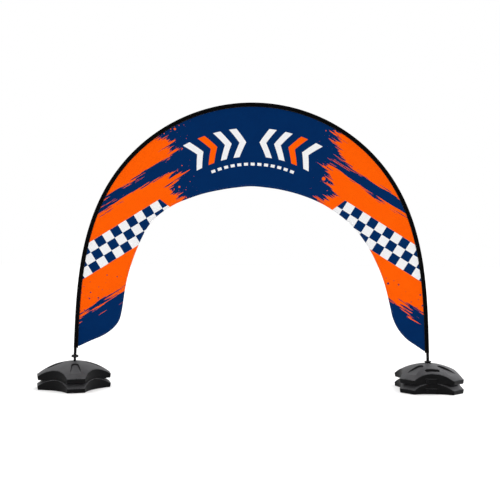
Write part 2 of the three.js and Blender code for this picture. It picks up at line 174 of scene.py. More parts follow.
def wall_rows(rim, wall_top):
    """Plans and levels of the side wall's rows, from the shoulder down to the floor, with the pad set out."""
    side = rim * np.exp(-1j * SLOT_TURN) - 1j * PAD_SIDEWAYS
    beside = 1 - soft_step(PAD_BLEND_START, PAD_BLEND_END, np.abs(side.imag))
    on_pad = np.where(side.real > 0, beside, 0)
    over_seam = SEAM_HEIGHT + SEAM_HALF
    over_pad = PAD_HIGH + PAD_EDGE
    under_pad = PAD_HIGH - PAD_EDGE
    levels = []
    for share in WALL_SHARES:
        plain = over_seam + share * (wall_top - over_seam)
        upper = over_pad + (wall_top - over_pad) * (share - ABOVE_PAD) / (1 - ABOVE_PAD)
        lower = over_seam + (under_pad - over_seam) * share / BELOW_PAD
        keyed = upper if share >= ABOVE_PAD else lower
        levels.append(plain + on_pad * (keyed - plain))
    levels += [np.full(rim.shape, level) for level in SEAM_LEVELS + PAD_LEVELS + FOOT_LEVELS]
    height = np.array(levels)
    foot = FOOT_ROUND * (1 - np.sqrt(np.clip(height / FOOT_ROUND_HEIGHT, 0, 1)))
    seam = SEAM_PROUD * (np.abs(height - SEAM_HEIGHT) < SEAM_HALF / 2)
    draft = WALL_DRAFT * (1 - height / wall_top)
    plan = rim * (1 + (seam - foot - draft) / np.abs(rim))
    moved = plan * np.exp(-1j * SLOT_TURN) - 1j * PAD_SIDEWAYS
    in_height = (height > PAD_LOW) & (height < PAD_HIGH)
    in_width = (np.abs(moved.imag) < PAD_HALF_WIDTH) & (moved.real > 0)
    set_out = np.maximum(moved.real, PAD_FACE) + 1j * moved.imag
    moved = np.where(in_height & in_width, set_out, moved)
    return (moved + 1j * PAD_SIDEWAYS) * np.exp(1j * SLOT_TURN), height


def meshed(name, points, faces, sharp):
    """A closed piece of points and faces, turned outwards, and smooth but for edges past the sharp angle."""
    mesh = bpy.data.meshes.new(name)
    mesh.from_pydata(points.reshape(-1, 3).tolist(), [], faces)
    solid = bmesh.new()
    solid.from_mesh(mesh)
    bmesh.ops.recalc_face_normals(solid, faces=solid.faces)
    solid.to_mesh(mesh)
    solid.free()
    mesh.shade_smooth()
    mesh.set_sharp_from_angle(angle=math.radians(sharp))
    piece = bpy.data.objects.new(name, mesh)
    bpy.context.scene.collection.objects.link(piece)
    return piece


def skin(name, points, sharp, wrap=False):
    """Closed piece over a grid of rings; its ends are capped, or joined to each other by wrap."""
    rings, count = points.shape[:2]
    number = np.arange(rings * count).reshape(rings, count)
    first = number if wrap else number[:-1]
    second = np.roll(number, -1, 0) if wrap else number[1:]
    quads = np.stack([first, np.roll(first, -1, 1), np.roll(second, -1, 1), second], -1)
    faces = quads.reshape(-1, 4).tolist()
    if not wrap:
        faces += [number[0][::-1].tolist(), number[-1].tolist()]
    return meshed(name, points, faces, sharp)


def stored(piece, **values):
    """Keeps numbers on the piece's points for its finish to read."""
    for name, numbers in values.items():
        layer = piece.data.attributes.new(name, "FLOAT", "POINT")
        layer.data.foreach_set("value", np.asarray(numbers, np.float32).ravel())
    return piece


def dress(piece, material, slot, *nodes):
    """Gives a piece its finish and puts it in the place of its solids."""
    piece.data.materials.append(material)
    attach(piece, "root")
    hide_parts(*nodes)
    return piece


def water_base(name, centre, turn, lift, lean):
    """One shell; lean is how far the stem moves sideways, in the shell's own plan, for each metre up."""
    rim = base_rim()
    reach = np.abs(rim)
    out = rim / reach
    to_tip = np.clip((reach - SCALLOP_REACH) / (ARM_REACH - SCALLOP_REACH), 0, 1)
    shoulder = SCALLOP_ROUND + (TIP_ROUND - SCALLOP_ROUND) * to_tip

    share = np.linspace(0, 1, DOME_ROWS)[:, None]
    hole_top = lean * (lift + dome(0) - STACK_PITCH)
    top_plan = out * (STEM_HOLE + share * (reach - shoulder - STEM_HOLE)) + hole_top * (1 - share) ** 3
    top_height, top_wear = sunk(top_plan)

    bend = np.linspace(0, np.pi / 2, SHOULDER_ROWS + 1)[1:, None]
    bend_reach = reach - shoulder * (1 - np.sin(bend))
    bend_height = dome(bend_reach) - shoulder * (1 - np.cos(bend))
    bend_wear = np.sin(2 * bend) ** 2 * np.ones(reach.shape)

    wall_plan, wall_height = wall_rows(rim, bend_height[-1])

    share = np.linspace(1, 0, UNDER_ROWS + 1)[1:, None]
    hole_low = lean * (lift + dome(0) - NEST_DROP - STACK_PITCH)
    under_reach = STEM_HOLE + share * (reach - WALL_DRAFT - FOOT_ROUND - STEM_HOLE)
    rounded = np.clip(1 - (reach - under_reach) / shoulder, 0, 1)
    under_height = dome(under_reach) - shoulder * (1 - np.sqrt(1 - rounded**2)) - NEST_DROP
    under_plan = out * under_reach + hole_low * (1 - share) ** 3

    plan = np.concatenate([top_plan, out * bend_reach, wall_plan, under_plan])
    height = np.concatenate([top_height, bend_height, wall_height, np.maximum(under_height, 0)])
    wear = np.concatenate([top_wear, bend_wear, np.zeros(wall_plan.shape), np.zeros(under_plan.shape)])
    placed = plan * np.exp(1j * turn) + centre
    shell = skin(name, np.stack([placed.real, placed.imag, height + lift], -1), 50, wrap=True)
    return stored(shell, wear=wear)


class Wire:
    """A node's output: arithmetic on it adds Math nodes, and node() adds any other kind."""

    def __init__(self, socket):
        self.socket = socket

    def feed(self, inputs):
        """Sets or links inputs of the node that this wire comes out of."""
        for name, value in inputs.items():
            entry = self.socket.node.inputs[name]
            if isinstance(value, Wire):
                self.socket.id_data.links.new(value.socket, entry)
            else:
                entry.default_value = value
        return self

    def node(self, kind, settings=None, inputs=None, output=0):
        """Adds a node to this wire's tree; its settings come first, then its inputs."""
        made = self.socket.id_data.nodes.new("ShaderNode" + kind)
        for name, value in (settings or {}).items():
            setattr(made, name, value)
        return Wire(made.outputs[output]).feed(inputs or {})

    def tap(self, output):
        """Another output of the same node."""
        return Wire(self.socket.node.outputs[output])

    def math(self, operation, *values):
        """A Math node on this value and others."""
        return self.node("Math", {"operation": operation}, dict(enumerate((self, *values))))

    def __add__(self, other):
        return self.math("ADD", other)

    def __sub__(self, other):
        return self.math("SUBTRACT", other)

    def __rsub__(self, other):
        return (self * -1).math("ADD", other)

    def __mul__(self, other):
        return self.math("MULTIPLY", other)

    def __abs__(self):
        return self.math("ABSOLUTE")

    __radd__ = __add__
    __rmul__ = __mul__

    def step(self, low, high):
        """0 where the value is low, 1 where it is high, eased between."""
        limits = {"Value": self, "From Min": low, "From Max": high}
        return self.node("MapRange", {"interpolation_type": "SMOOTHSTEP"}, limits)

    def mix(self, low, high):
        """The colour low where the value is 0, high where it is 1."""
        return self.node("Mix", {"data_type": "RGBA"}, {0: self, 6: low, 7: high}, output=2)

    def read(self, attribute):
        """A number that is stored on the piece's points."""
        return self.node("Attribute", {"attribute_name": attribute}, output="Fac")

    def noise(self, place, scale, detail):
        """Smooth noise from 0 to 1 over places."""
        return self.node("TexNoise", {}, {"Vector": place, "Scale": scale, "Detail": detail})

    def place(self, x=1.0, y=1.0, z=1.0):
        """The point's place on the part, stretched by a number each way."""
        spot = self.node("TexCoord", output="Object")
        return self.node("VectorMath", {"operation": "MULTIPLY"}, {0: spot, 1: (x, y, z)})

    def bump(self, height, distance, strength):
        """A surface direction tilted by a height."""
        return self.node("Bump", {}, {"Strength": strength, "Distance": distance, "Height": height})


def new_finish(name, constants):
    """A material with one shader, and the wire that comes out of that shader."""
    material = bpy.data.materials.new(name)
    material.use_nodes = True
    shader = Wire(material.node_tree.nodes["Principled BSDF"].outputs[0])
    return material, shader.feed(constants)


def moulded_finish(name, dark, pale, scuffed_and_top_lit, roughness, top_light_and_dust_amount=0.0):
    """Moulded plastic: cloudy black, a fine grain, paler rubbed edges, and upper faces paled by dust and by
    painted light from above.
    """
    material, shader = new_finish(name, {"Specular IOR Level": 0.06})
    cloud = shader.noise(shader.place(), scale=14.0, detail=5.0)
    grain = shader.noise(shader.place(), scale=520.0, detail=3.0)
    scratch = shader.noise(shader.place(160.0, 30.0, 60.0), scale=1.0, detail=3.0)
    upward = shader.node("SeparateXYZ", {}, {0: shader.node("NewGeometry", output="Normal")}, output="Z")
    # Upper faces paled by how far they point up: partly dust, partly painted light from above and painted
    # sheen
    dust_and_top_light_mask = upward.step(0.35, 0.85) * (0.55 + cloud * 0.9) * top_light_and_dust_amount
    rubbed = (shader.read("wear") * (cloud * 0.6 + scratch * 0.8)).step(0.35, 0.85)
    colour = rubbed.math("MAXIMUM", dust_and_top_light_mask).mix(cloud.mix(dark, pale), scuffed_and_top_lit)
    shader.feed({
        "Base Color": colour,
        "Roughness": roughness + (cloud - 0.5) * 0.25 + rubbed * 0.12,
        "Normal": shader.bump(grain + cloud * 1.5, distance=0.0006, strength=0.35),
    })
    return material


SHELL_DARK = (0.0022, 0.0022, 0.0025, 1)
SHELL_PALE = (0.0050, 0.0050, 0.0055, 1)
# Grey of rubbed edges, also used for the painted top light and dust on upper faces
SHELL_SCUFFED_AND_TOP_LIT = (0.078, 0.078, 0.082, 1)
polyethylene = moulded_finish(
    "black_polyethylene", SHELL_DARK, SHELL_PALE, SHELL_SCUFFED_AND_TOP_LIT, roughness=0.42, top_light_and_dust_amount=0.58)
stack_middles = {}
for foot, turn in BASE_TURNS.items():
    low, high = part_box(f"base_lower_{foot}")
    stack_middles[foot] = complex((low.x + high.x) / 2, (low.y + high.y) / 2)
    lean = -SIDES[foot] * math.tan(FOOT_LEAN) * np.exp(-1j * turn)
    for level in STACK_LEVELS:
        node = f"base_{level}_{foot}"
        shell = water_base(f"shell_{level}_{foot}", stack_middles[foot], turn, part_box(node)[0].z, lean)
        dress(shell, polyethylene, "base", node)

# Filler plugs: small screw plugs of black plastic, one on the pad of each base.
# Each has a fluted rim for the fingers and a bar across its dished face.
PLUG_RADIUS = 0.013
PLUG_LENGTH = 0.009
PLUG_SIDE_LEVELS = (0, 0.001, 0.0035)
PLUG_ROUND = 0.002
PLUG_ROUND_STEPS = 6
PLUG_FACE_STEPS = 14
PLUG_CENTRE = 0.0004
PLUG_DISH = 0.0025
PLUG_DISH_RADIUS = 0.009
PLUG_DISH_WALL = 0.001
PLUG_BAR_HALF = 0.0018
PLUG_BAR_WALL = 0.0008
PLUG_FLUTES = 12
PLUG_FLUTE_DEPTH = 0.0009
PLUG_FLUTE_START = 0.0115
PLUG_SEGMENTS = 72
PLUG_WEAR = 0.4
PLUG_DARK = (0.006, 0.006, 0.0066, 1)
PLUG_PALE = (0.012, 0.012, 0.013, 1)
PLUG_SCUFFED = (0.05, 0.05, 0.052, 1)


def turned(profile, segments):
    """Rings of a profile of (radius, height) pairs turned about an axis, as plan and height."""
    radius, height = np.array(profile).T
    around = np.exp(2j * np.pi * np.arange(segments) / segments)
    return radius[:, None] * around, height[:, None] * np.ones(segments)


def stood(plan, height, origin, axis, across):
    """Points of turned rings set up on an axis, with the plan's first direction across it."""
    axis = np.array(axis)
    across = np.array(across)
    beside = np.cross(axis, across)
    ways = ((plan.real, across), (plan.imag, beside), (height, axis))
    return np.array(origin) + sum(np.multiply.outer(part, way) for part, way in ways)


plug_plastic = moulded_finish("plug_plastic", PLUG_DARK, PLUG_PALE, PLUG_SCUFFED, roughness=0.38)
plug_profile = [(PLUG_CENTRE, 0)]
plug_profile += [(PLUG_RADIUS, level) for level in PLUG_SIDE_LEVELS]
for bend in np.linspace(math.pi / 2, 0, PLUG_ROUND_STEPS):
    eased_radius = PLUG_RADIUS - PLUG_ROUND * (1 - math.sin(bend))
    plug_profile.append((eased_radius, PLUG_LENGTH - PLUG_ROUND * (1 - math.cos(bend))))
plug_face = np.linspace(PLUG_RADIUS - PLUG_ROUND - PLUG_CENTRE, PLUG_CENTRE, PLUG_FACE_STEPS)
plug_profile += [(reach, PLUG_LENGTH) for reach in plug_face]
plug_plan, plug_height = turned(plug_profile, PLUG_SEGMENTS)
grip = np.maximum(np.cos(PLUG_FLUTES * np.angle(plug_plan)), 0) ** 3
grip = grip * soft_step(PLUG_FLUTE_START, PLUG_RADIUS, np.abs(plug_plan))
plug_plan = plug_plan * (1 - grip * PLUG_FLUTE_DEPTH / PLUG_RADIUS)
in_dish = 1 - soft_step(PLUG_DISH_RADIUS - PLUG_DISH_WALL, PLUG_DISH_RADIUS, np.abs(plug_plan))
off_bar = soft_step(PLUG_BAR_HALF, PLUG_BAR_HALF + PLUG_BAR_WALL, np.abs(plug_plan.imag))
on_face = np.isclose(plug_height, PLUG_LENGTH)
plug_height = plug_height - PLUG_DISH * in_dish * off_bar * on_face
for foot, turn in BASE_TURNS.items():
    outward = np.exp(1j * (turn + SLOT_TURN))
    plug_axis = np.array((outward.real, outward.imag, 0))
    for level in STACK_LEVELS:
        node = f"plug_{level}_{foot}"
        low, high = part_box(node)
        origin = np.array((low + high) / 2) - plug_axis * PLUG_LENGTH / 2
        plug = skin(f"screw_{node}", stood(plug_plan, plug_height, origin, plug_axis, (0, 0, 1)), 55)
        stored(plug, wear=np.full(plug_height.shape, PLUG_WEAR))
        dress(plug, plug_plastic, "plug", node)

# Spindles: turned steel pins with a black oxide finish, one to each foot, on the pole's own lean. The thin
# pin goes up into the pole, and the stem goes down through both bases; the right one is rubbed bright.
STEM_RADIUS = 0.0135
PIN_RADIUS = 0.009
PIN_LENGTH = 0.110
STEM_FOOT = 0.110
STEM_CHAMFER = 0.0012
SPINDLE_CENTRE = 0.0005
SPINDLE_SEGMENTS = 48
POLE_FEET = {"left": 0.338, "right": 0.298}
COLLAR_HEIGHTS = {"left": 0.024, "right": 0.020}
SEAT_GAP = 0.0006
BARE_FOOT = "right"
STEEL_BLACK = (0.004, 0.004, 0.0042, 1)
STEEL_SMEARED = (0.012, 0.012, 0.0125, 1)
STEEL_BARE = (0.75, 0.75, 0.76, 1)


def foot_frame(foot):
    """Where the pole's foot is, the way up along it, and the way across it."""
    side = SIDES[foot]
    middle = stack_middles[foot]
    rise = POLE_FEET[foot] - STACK_PITCH
    origin = (middle.real - side * rise * math.tan(FOOT_LEAN), middle.imag, POLE_FEET[foot])
    up = (-side * math.sin(FOOT_LEAN), 0, math.cos(FOOT_LEAN))
    return origin, up, (0, 1, 0)


steel, steel_shader = new_finish("blackened_steel", {"Metallic": 1.0})
turning = steel_shader.noise(steel_shader.place(3.0, 3.0, 900.0), scale=1.0, detail=2.0)
smear = steel_shader.noise(steel_shader.place(), scale=60.0, detail=4.0)
bare = steel_shader.read("bare") * smear.step(0.25, 0.45)
steel_shader.feed({
    "Base Color": bare.mix(smear.mix(STEEL_BLACK, STEEL_SMEARED), STEEL_BARE),
    "Roughness": 0.28 + turning * 0.16 + smear.step(0.5, 0.8) * 0.12,
    "Normal": steel_shader.bump(turning, distance=0.0001, strength=0.5),
})
for foot in POLE_FEET:
    stem_end = (STEM_FOOT - POLE_FEET[foot]) / math.cos(FOOT_LEAN)
    shoulder = -COLLAR_HEIGHTS[foot] - SEAT_GAP
    profile = [
        (SPINDLE_CENTRE, stem_end),
        (STEM_RADIUS - STEM_CHAMFER, stem_end),
        (STEM_RADIUS, stem_end + STEM_CHAMFER),
        (STEM_RADIUS, shoulder - STEM_CHAMFER),
        (STEM_RADIUS - STEM_CHAMFER, shoulder),
        (PIN_RADIUS, shoulder),
        (PIN_RADIUS, PIN_LENGTH - STEM_CHAMFER),
        (PIN_RADIUS - STEM_CHAMFER, PIN_LENGTH),
        (SPINDLE_CENTRE, PIN_LENGTH),
    ]
    plan, height = turned(profile, SPINDLE_SEGMENTS)
    spindle = skin(f"steel_spindle_{foot}", stood(plan, height, *foot_frame(foot)), 30)
    stored(spindle, bare=np.ones(height.shape) * (foot == BARE_FOOT))
    dress(spindle, steel, "spindle", f"spindle_{foot}")

# Collars: moulded plastic rings that the pole's feet sit on, held by the spindles' shoulders.
# The left one is a flat flange with rounded edges, the right one a cone that narrows downwards.
COLLAR_HOLE = 0.0093
COLLAR_ROUND = 0.0018
COLLAR_ROUND_STEPS = 5
COLLAR_ROUND_LIMIT = 0.45
COLLAR_SEGMENTS = 64
COLLAR_RUB_START = 0.029
COLLAR_RUB_END = 0.035
COLLAR_DARK = (0.0018, 0.0018, 0.0020, 1)
COLLAR_PALE = (0.0042, 0.0042, 0.0046, 1)
COLLAR_SCUFFED = (0.020, 0.020, 0.021, 1)

# Outer side of each collar: radius, distance below the pole's foot
COLLAR_PROFILES = {
    "left": [(0.032, 0.0003), (0.036, 0.0043), (0.036, 0.0203), (0.032, 0.0243)],
    "right": [(0.034, 0.0003), (0.036, 0.0023), (0.036, 0.0083), (0.024, 0.0203)],
}


def rounded_ring(corners, radius):
    """A closed profile with each corner eased by a short curve, over less than half of either side."""
    eased = []
    for index, corner in enumerate(corners):
        here = np.array(corner)
        before = np.array(corners[index - 1]) - here
        after = np.array(corners[(index + 1) % len(corners)]) - here
        start = here + before * min(radius / np.linalg.norm(before), COLLAR_ROUND_LIMIT)
        end = here + after * min(radius / np.linalg.norm(after), COLLAR_ROUND_LIMIT)
        for share in np.linspace(0, 1, COLLAR_ROUND_STEPS):
            eased.append((1 - share) ** 2 * start + 2 * share * (1 - share) * here + share**2 * end)
    return eased


collar_plastic = moulded_finish("collar_plastic", COLLAR_DARK, COLLAR_PALE, COLLAR_SCUFFED, roughness=0.45)
for foot, rows in COLLAR_PROFILES.items():
    corners = [(radius, -below) for radius, below in rows]
    corners += [(COLLAR_HOLE, corners[-1][1]), (COLLAR_HOLE, corners[0][1])]
    plan, height = turned(rounded_ring(corners, COLLAR_ROUND), COLLAR_SEGMENTS)
    collar = skin(f"moulded_collar_{foot}", stood(plan, height, *foot_frame(foot)), 60, wrap=True)
    stored(collar, wear=soft_step(COLLAR_RUB_START, COLLAR_RUB_END, np.abs(plan)))
    dress(collar, collar_plastic, "collar", f"collar_{foot}")

# Arch pole: a springy glass-fibre pole, one even bend over the crown that eases out to a straight
# lean at the feet. It stays in the sleeve but for its last stretch, and is bored for the spindles.
ARCH_MIDDLE = (stack_middles["left"].real + stack_middles["right"].real) / 2
ARCH_HEIGHT = 3.0
BEND_RADIUS = 1.75
BEND_TURN = math.radians(60)
EASE_TURN = math.pi / 2 - BEND_TURN - FOOT_LEAN
BEND_LENGTH = BEND_RADIUS * BEND_TURN
EASE_LENGTH = 2 * BEND_RADIUS * EASE_TURN
POLE_RADIUS = 0.015
POLE_CHAMFER = 0.001
BORE_RADIUS = 0.0095
BORE_DEPTH = 0.12
SLEEVE_OVER_POLE = 0.0018
SLEEVE_RADIUS = POLE_RADIUS + SLEEVE_OVER_POLE
POLE_SEGMENTS = 32
POLE_STEP = 0.05
LINE_LENGTH = 4.0
LINE_STEP = 0.0005
POLE_DARK = (0.0012, 0.0012, 0.0014, 1)
POLE_PALE = (0.0045, 0.0045, 0.005, 1)


def heading(along):
    """How far the pole's line has turned down from level, at a distance along it from the crown."""
    reach = np.abs(along)
    eased = np.clip((reach - BEND_LENGTH) / EASE_LENGTH, 0, 1)
    bent = np.minimum(reach, BEND_LENGTH) / BEND_RADIUS
    return np.sign(along) * (bent + EASE_TURN * eased * (2 - eased))


line_marks = np.arange(0, LINE_LENGTH, LINE_STEP)
line_turns = heading(line_marks + LINE_STEP / 2)
line_out = np.concatenate([[0], np.cumsum(np.cos(line_turns))]) * LINE_STEP
line_down = np.concatenate([[0], np.cumsum(np.sin(line_turns))]) * LINE_STEP
line_marks = np.append(line_marks, LINE_LENGTH)


def across_line(along, depth, back):
    """Points at a distance along the pole's line from the crown, a depth inwards from it, and back in Y."""
    along, depth, back = np.broadcast_arrays(along, depth, back)
    turned_by = heading(along)
    out = np.sign(along) * np.interp(np.abs(along), line_marks, line_out)
    down = np.interp(np.abs(along), line_marks, line_down)
    x = ARCH_MIDDLE + out - np.sin(turned_by) * depth
    z = ARCH_HEIGHT - SLEEVE_RADIUS - down - np.cos(turned_by) * depth
    return np.stack([x, back, z], -1)


def along_at_height(height):
    """How far along the line its straight foot comes down to a height."""
    return np.interp(ARCH_HEIGHT - SLEEVE_RADIUS - height, line_down, line_marks)


def spaced(start, end, step):
    """Even places from start to end, no further apart than a step."""
    return np.linspace(start, end, math.ceil(abs(end - start) / step) + 1)


pole_paint, pole_shader = new_finish(
    "satin_glass_fibre", {"Specular IOR Level": 0.06, "Coat Roughness": 0.4})
fibre_place = pole_shader.node(
    "CombineXYZ", {}, {"X": pole_shader.read("along") * 9.0, "Y": pole_shader.read("around") * 26.0})
fibres = pole_shader.noise(fibre_place, scale=1.0, detail=4.0)
pole_shader.feed({
    "Base Color": fibres.mix(POLE_DARK, POLE_PALE),
    "Roughness": 0.5 + fibres * 0.2,
    "Coat Weight": 0.01 + fibres * 0.03,
    "Normal": pole_shader.bump(fibres, distance=0.0002, strength=0.4),
})
pole_start = -along_at_height(POLE_FEET["left"])
pole_end = along_at_height(POLE_FEET["right"])
pole_stretch = spaced(pole_start + POLE_CHAMFER, pole_end - POLE_CHAMFER, POLE_STEP)
bored_end = [(0, POLE_RADIUS - POLE_CHAMFER), (0, BORE_RADIUS), (BORE_DEPTH, BORE_RADIUS)]
pole_rows = [(pole_start + inward, radius) for inward, radius in reversed(bored_end)]
pole_rows += [(along, POLE_RADIUS) for along in pole_stretch]
pole_rows += [(pole_end - inward, radius) for inward, radius in bored_end]
pole_along, pole_radius = np.array(pole_rows).T[:, :, None]
pole_around = 2 * np.pi * np.arange(POLE_SEGMENTS) / POLE_SEGMENTS
pole_points = across_line(pole_along, pole_radius * np.cos(pole_around), pole_radius * np.sin(pole_around))
pole = skin("bent_pole", pole_points, 35)
stored(pole, along=pole_along + pole_around * 0, around=np.abs(pole_around - np.pi) + pole_along * 0)
dress(pole, pole_paint, "pole", "arch_pole")

# Pole sleeve: one strip of black pocket cloth folded over the pole from crown to foot.
# Its two tails lie on both faces of the band and are sewn through it; the bend puckers it a little.
SLEEVE_CLOTH = 0.0015
SLEEVE_DEPTH = 0.029
TAIL_OUTSIDE = 0.0028
TAIL_START = 0.0206
ARC_START = math.radians(48)
ARC_STEPS = 15
TAIL_STEPS = 5
SLEEVE_FEET = {"left": 0.412, "right": 0.385}
SLEEVE_STEP = 0.012
POCKET_PITCH = 0.0024
POCKET_DARK = (0.0006, 0.0006, 0.0007, 1)
POCKET_PALE = (0.0024, 0.0024, 0.0028, 1)

# Puckers: height, length, start angle; they rise and fade over these depths
SLEEVE_PUCKERS = [(0.00045, 0.037, 0.3), (0.00035, 0.023, 1.7), (0.0003, 0.061, 4.1)]
PUCKER_RISE = (-0.010, 0.012)
PUCKER_FADE = (0.020, 0.026)


def ripples(rows, along):
    """Sum of waves along the pole's line, from rows of (height, length, start angle)."""
    return sum(height * np.sin(2 * np.pi * along / length + start) for height, length, start in rows)


def sleeve_side(radius, tail):
    """Half a turn of the fold's section, from the middle of the outer side to the tail's end."""
    bend = np.linspace(math.pi, ARC_START, ARC_STEPS)
    arc = [(radius * math.cos(angle), radius * math.sin(angle)) for angle in bend]
    flat = [(depth, tail) for depth in np.linspace(TAIL_START, SLEEVE_DEPTH, TAIL_STEPS)]
    return arc + flat


def fold_section():
    """The strip's section, round its outer side and back round its inner side, as (depth, back) rows."""
    outer = sleeve_side(SLEEVE_RADIUS, TAIL_OUTSIDE)
    inner = sleeve_side(SLEEVE_RADIUS - SLEEVE_CLOTH, TAIL_OUTSIDE - SLEEVE_CLOTH)
    front = [(depth, -back) for depth, back in outer[:0:-1]]
    inside = [(depth, -back) for depth, back in inner[1:]]
    return np.array(front + outer + inner[::-1] + inside)


def plain_weave(shader, pitch, first, second):
    """Height of a plain weave of that pitch over two stored lengths, in threads over and under."""
    warp = (shader.read(first) * (2 * math.pi / pitch)).math("SINE")
    weft = (shader.read(second) * (2 * math.pi / pitch)).math("SINE")
    return warp * weft * 0.5 + 0.5


sleeve_start = -along_at_height(SLEEVE_FEET["left"])
sleeve_end = along_at_height(SLEEVE_FEET["right"])
sleeve_along = spaced(sleeve_start, sleeve_end, SLEEVE_STEP)[:, None]
fold_depth, fold_back = fold_section().T
puckered = soft_step(*PUCKER_RISE, fold_depth) * (1 - soft_step(*PUCKER_FADE, fold_depth))
pucker = ripples(SLEEVE_PUCKERS, sleeve_along) * puckered
sleeve_points = across_line(sleeve_along, fold_depth, fold_back + pucker * np.sign(fold_back))
sleeve = skin("folded_sleeve", sleeve_points, 55)
fold_steps = np.hypot(np.diff(fold_depth, prepend=fold_depth[0]), np.diff(fold_back, prepend=fold_back[0]))
fold_run = np.cumsum(fold_steps)
stored(sleeve, along=sleeve_along + fold_depth * 0, run=fold_run + sleeve_along * 0)
pocket_cloth, pocket_shader = new_finish(
    "black_pocket_cloth", {"Specular IOR Level": 0.03, "Sheen Weight": 0.004, "Sheen Roughness": 0.45})
pocket_weave = plain_weave(pocket_shader, POCKET_PITCH, "along", "run")
pocket_cloud = pocket_shader.noise(pocket_shader.place(), scale=26.0, detail=4.0)
pocket_shader.feed({
    # Colour: a cloudy black tone, with the weave's low places painted darker as painted shade
    "Base Color": (pocket_weave * 0.4 + pocket_cloud * 0.6).mix(POCKET_DARK, POCKET_PALE),
    "Roughness": 0.72 + pocket_cloud * 0.2,
    "Normal": pocket_shader.bump(pocket_weave * 0.5 + pocket_cloud * 2.0, distance=0.0004, strength=0.4),
})
dress(sleeve, pocket_cloth, "sleeve", "pole_sleeve")

# Printed band: one cut of knitted polyester, its outer edge sewn into the sleeve and drawn tight by
# the pole, its free inner edge and rounded lower corners turned in a hem. The dye goes through both faces.
CLOTH_HALF = 0.0006
CLOTH_EDGE = 0.018
HEM_HALF = 0.0013
HEM_EDGE_HALF = HEM_HALF * 0.4
HEM_WIDTH = 0.022
HEM_STEP = 0.002
HEM_ROUND = 0.0008
EDGE_REACH = 0.002
FLAT_DEPTH = 0.032
LOOSE_DEPTH = 0.07
BAND_INSET = 0.020
BAND_STEP = 0.014
BAND_CORNER_STEP = 0.007
BAND_COLUMNS = 54
SLACK_BLEND = 0.5
SLACK_POWER = 1.6

# Waves of the slack, and puckers beside the sleeve with how fast they fade: height, length, start angle
SLACK_WAVES = [(0.008, 0.800, 0.6), (0.004, 0.470, -1.1)]
SEAM_PUCKERS = [(0.0011, 0.083, 0.4), (0.0009, 0.131, 2.2), (0.0007, 0.057, 5.0)]
SEAM_PUCKER_FADE = 0.09

# Depth of the band from the pole's line: along from the crown, on the left leg, on the right leg
BAND_ROWS = [
    (0.0, 0.864, 0.864), (0.4, 0.859, 0.860), (0.8, 0.823, 0.828), (1.2, 0.757, 0.771),
    (1.6, 0.661, 0.693), (2.0, 0.573, 0.598), (2.4, 0.531, 0.502), (2.8, 0.491, 0.421),
]

# Rounded corners: up from the band's end, depth on the left leg, on the right leg
CORNER_ROWS = [
    (0.46, 0.473, 0.371), (0.38, 0.465, 0.358), (0.30, 0.450, 0.333), (0.24, 0.418, 0.303),
    (0.18, 0.364, 0.262), (0.12, 0.281, 0.205), (0.06, 0.157, 0.123), (0.0, 0.040, 0.040),
]

# Soft creases: along and depth at each end, height, half width
CREASES = [
    (-3.05, 0.36, -2.30, 0.06, 0.0040, 0.035), (-2.85, 0.44, -2.05, 0.16, -0.0030, 0.045),
    (2.95, 0.27, 2.25, 0.05, 0.0038, 0.032), (2.70, 0.40, 1.95, 0.14, -0.0030, 0.045),
    (-1.35, 0.10, -1.05, 0.66, 0.0026, 0.040), (1.30, 0.09, 1.08, 0.68, -0.0026, 0.042),
    (-0.42, 0.06, -0.34, 0.50, 0.0018, 0.030), (0.55, 0.06, 0.49, 0.55, 0.0020, 0.032),
]

band_start = sleeve_start + BAND_INSET
band_end = sleeve_end - BAND_INSET


def smooth_depth(rows, along):
    """Smooth curve through rows of (along, depth), level at the crown."""
    at, depth = np.array(rows).T
    slope = np.zeros(at.shape)
    slope[1:-1] = (depth[2:] - depth[:-2]) / (at[2:] - at[:-2])
    slope[-1] = (depth[-1] - depth[-2]) / (at[-1] - at[-2])
    row = np.clip(np.searchsorted(at, along) - 1, 0, len(at) - 2)
    span = at[row + 1] - at[row]
    share = np.clip((along - at[row]) / span, 0, 1)
    rise = share**2 * (3 - 2 * share)
    bow = share * (1 - share) * ((1 - share) * slope[row] - share * slope[row + 1]) * span
    return depth[row] + rise * (depth[row + 1] - depth[row]) + bow


def band_depth(along):
    """Depth of the band's free edge, at a distance along from the crown, left of it below 0."""
    ends = {1: -band_start, 2: band_end}
    legs = {}
    for column, end in ends.items():
        rows = [(row[0], row[column]) for row in BAND_ROWS]
        rows += [(end - row[0], row[column]) for row in CORNER_ROWS]
        legs[column] = smooth_depth(rows, np.abs(along))
    return np.where(along < 0, legs[1], legs[2])


def band_lean(along, depth, free):
    """How far the cloth stands back from the arch's plane: slack waves, puckers at the seam and creases."""
    share = np.maximum(depth - FLAT_DEPTH, 0) / (free + (BAND_ROWS[0][1] - free) * SLACK_BLEND)
    loose = soft_step(FLAT_DEPTH, LOOSE_DEPTH, depth)
    drawn = loose * np.exp(-np.maximum(depth - LOOSE_DEPTH, 0) / SEAM_PUCKER_FADE)
    lean = share**SLACK_POWER * ripples(SLACK_WAVES, along) + drawn * ripples(SEAM_PUCKERS, along)
    for start_along, start_depth, end_along, end_depth, height, half in CREASES:
        run = np.array([end_along - start_along, end_depth - start_depth])
        gone = ((along - start_along) * run[0] + (depth - start_depth) * run[1]) / (run @ run)
        aside = ((along - start_along) * run[1] - (depth - start_depth) * run[0]) / np.sqrt(run @ run)
        fade = np.sin(np.pi * np.clip(gone, 0, 1)) ** 2
        lean = lean + height * fade * np.exp(-((aside / half) ** 2)) * loose
    return lean


def hem_line(along, width):
    """Depth of a line that runs a width inside the band's free edge, square to that edge."""
    slope = (band_depth(along + EDGE_REACH) - band_depth(along - EDGE_REACH)) / (2 * EDGE_REACH)
    return band_depth(along) - width * np.hypot(1, slope)


